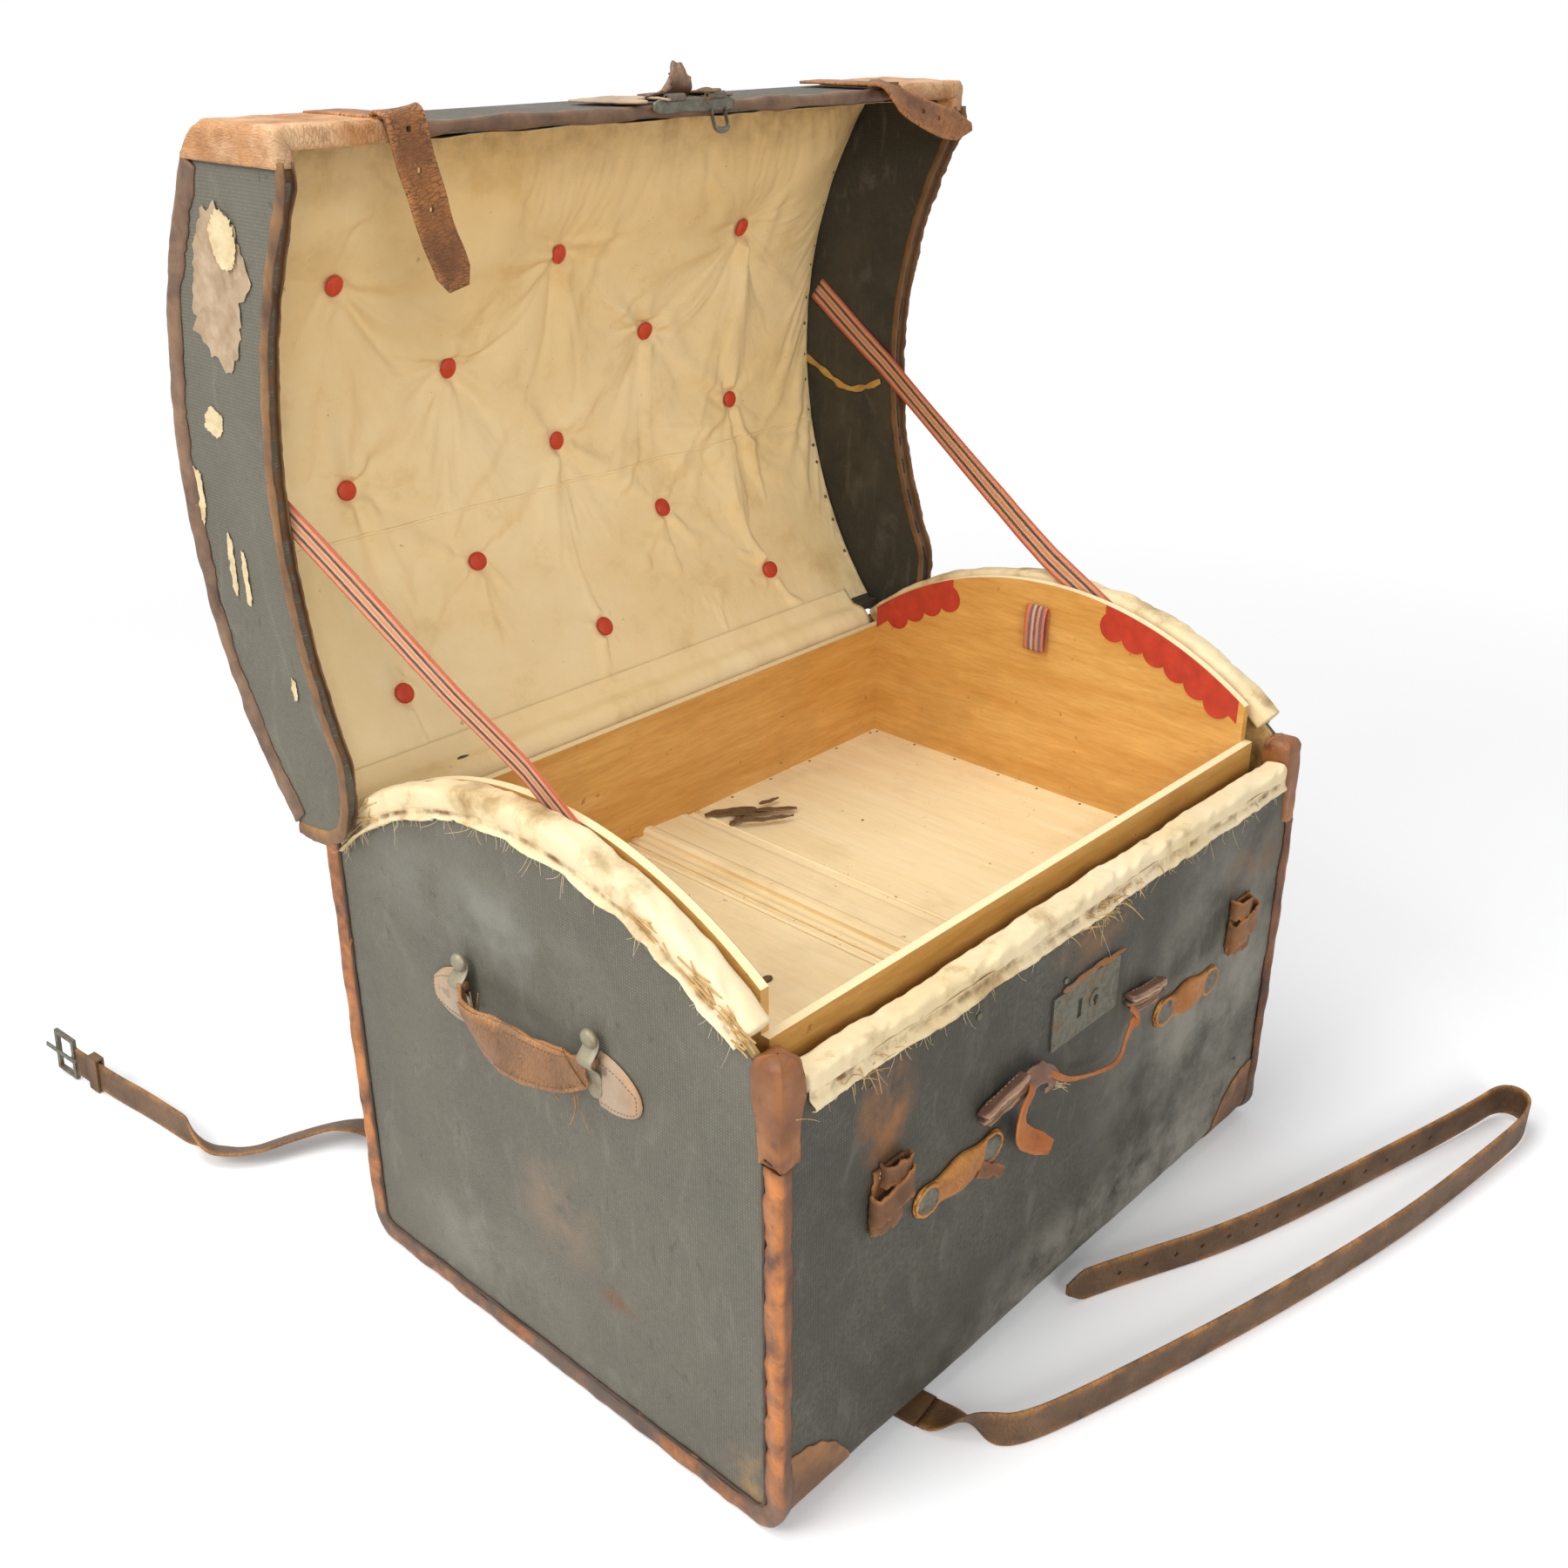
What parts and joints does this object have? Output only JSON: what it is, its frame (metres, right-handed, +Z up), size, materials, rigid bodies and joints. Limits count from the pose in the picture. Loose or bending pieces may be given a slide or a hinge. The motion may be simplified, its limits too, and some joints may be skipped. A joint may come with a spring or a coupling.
{
  "type": "dome top trunk",
  "caption": "Dome top travelling trunk of canvas over wicker with leather edges, an open quilted lid on stays, a lift-out tray and a long buckled strap.",
  "frame": {"origin": "on the floor, under the middle of the trunk's body", "axes": "+X to the right of someone facing the lock, +Y from the lock towards the hinges, +Z up"},
  "size_m": [0.9927, 1.233, 0.9912],
  "materials": {
    "wicker": "woven cane, dry and worn",
    "canvas": "tarred canvas, matt, scuffed",
    "lining": "padded cotton cloth, faded",
    "rim_cloth": "stuffed cloth roll, torn",
    "binding": "brown leather with orange wear",
    "cap_leather": "scuffed brown leather",
    "patch_leather": "worn brown leather",
    "runner_wood": "bare softwood",
    "iron": "dull iron, rusty",
    "lock_metal": "dull grey-green iron plate",
    "cap_metal": "tarnished metal",
    "loop_leather": "stitched brown leather",
    "stub_leather": "torn layered leather",
    "tab_leather": "dark stitched leather",
    "grip_leather": "layered leather grip",
    "webbing": "faded orange webbing with dark stripes",
    "strap_leather": "cracked brown strap leather",
    "tray_board": "pale board",
    "tray_wood": "ochre varnished wood",
    "trim_paper": "red paper, stood in for by fabric",
    "button_cloth": "red cloth-covered button",
    "lid_leather": "brown leather with orange wear"
  },
  "bodies": {
    "trunk": {"front_panel": "wicker", "floor_panel": "wicker", "back_panel": "wicker", "end_panel_left": "wicker", "end_panel_right": "wicker", "canvas_wrap": "canvas", "canvas_end_left": "canvas", "canvas_end_right": "canvas", "body_lining": "lining", "rim_left": "rim_cloth", "rim_right": "rim_cloth", "rim_front": "rim_cloth", "binding_left": "binding", "binding_right": "binding", "front_caps": "cap_leather", "corner_patches": "patch_leather", "runners": "runner_wood", "tray_cleats": "runner_wood", "hinge_body_leaves": "iron", "hinge_pins": "iron", "lock": "lock_metal", "strap_loops": "loop_leather", "front_chapes": "loop_leather", "front_chape_caps": "cap_metal", "front_handle_left": "stub_leather", "front_handle_right": "stub_leather", "handle_tabs": "tab_leather", "handle_saddles": "iron", "stay_left": "webbing", "stay_right": "webbing", "strap_under": "strap_leather", "strap_front": "strap_leather", "strap_back": "strap_leather", "buckle_frame": "cap_metal", "buckle_keeper": "strap_leather"},
    "lid": {"lid_dome": "canvas", "lid_end_left": "canvas", "lid_end_right": "canvas", "lid_lining": "lining", "lid_buttons": "button_cloth", "lid_binding": "lid_leather", "lid_patches": "lid_leather", "hinge_lid_leaves": "iron", "hasp_plate": "iron", "lid_strap_anchors": "strap_leather"},
    "tray": {"tray_floor": "tray_board", "tray_front": "tray_wood", "tray_back": "tray_wood", "tray_end_left": "tray_wood", "tray_end_right": "tray_wood", "tray_batten": "tray_wood", "tray_trim": "trim_paper", "tray_loops": "webbing"},
    "handle_left": {"handle_grip_left": "grip_leather"},
    "handle_right": {"handle_grip_right": "grip_leather"},
    "hasp_flap": {"hasp": "iron"},
    "strap_left": {"lid_strap_left": "strap_leather"},
    "strap_right": {"lid_strap_right": "strap_leather"},
    "prong": {"buckle_prong": "cap_metal"}
  },
  "joints": [
    {"name": "lid_hinge", "type": "hinge", "parent": "trunk", "child": "lid", "pos_m": [0, 0.264, 0.436], "axis": [-1, 0, 0], "range_deg": [-90, 0], "deforming": ["stay_left", "stay_right"]},
    {"name": "tray_lift", "type": "slide", "parent": "trunk", "child": "tray", "axis": [0, 0, 1], "range_m": [0, 0.3]},
    {"name": "handle_left_swing", "type": "hinge", "parent": "trunk", "child": "handle_left", "pos_m": [-0.3694, 0, 0.36], "axis": [0, 1, 0], "range_deg": [0, 75]},
    {"name": "handle_right_swing", "type": "hinge", "parent": "trunk", "child": "handle_right", "pos_m": [0.3694, 0, 0.36], "axis": [0, -1, 0], "range_deg": [0, 75]},
    {"name": "prong_swing", "type": "hinge", "parent": "trunk", "child": "prong", "pos_m": [-0.44213, 0.70107, 0.00974], "axis": [0.0169, -0.1207, 0.9925], "range_deg": [0, 60]},
    {"name": "hasp_swing", "type": "hinge", "parent": "lid", "child": "hasp_flap", "pos_m": [0, 0.178, 0.988], "axis": [-1, 0, 0], "range_deg": [0, 90]},
    {"name": "strap_left_swing", "type": "hinge", "parent": "lid", "child": "strap_left", "pos_m": [0, 0.178, 0.988], "axis": [-1, 0, 0], "range_deg": [0, 90]},
    {"name": "strap_right_swing", "type": "hinge", "parent": "lid", "child": "strap_right", "pos_m": [0, 0.178, 0.988], "axis": [-1, 0, 0], "range_deg": [0, 90]}
  ],
  "couplings": [
    {"joint": "hasp_swing", "follows": "lid_hinge", "ratio": -1},
    {"joint": "strap_left_swing", "follows": "lid_hinge", "ratio": -1},
    {"joint": "strap_right_swing", "follows": "lid_hinge", "ratio": -1}
  ]
}
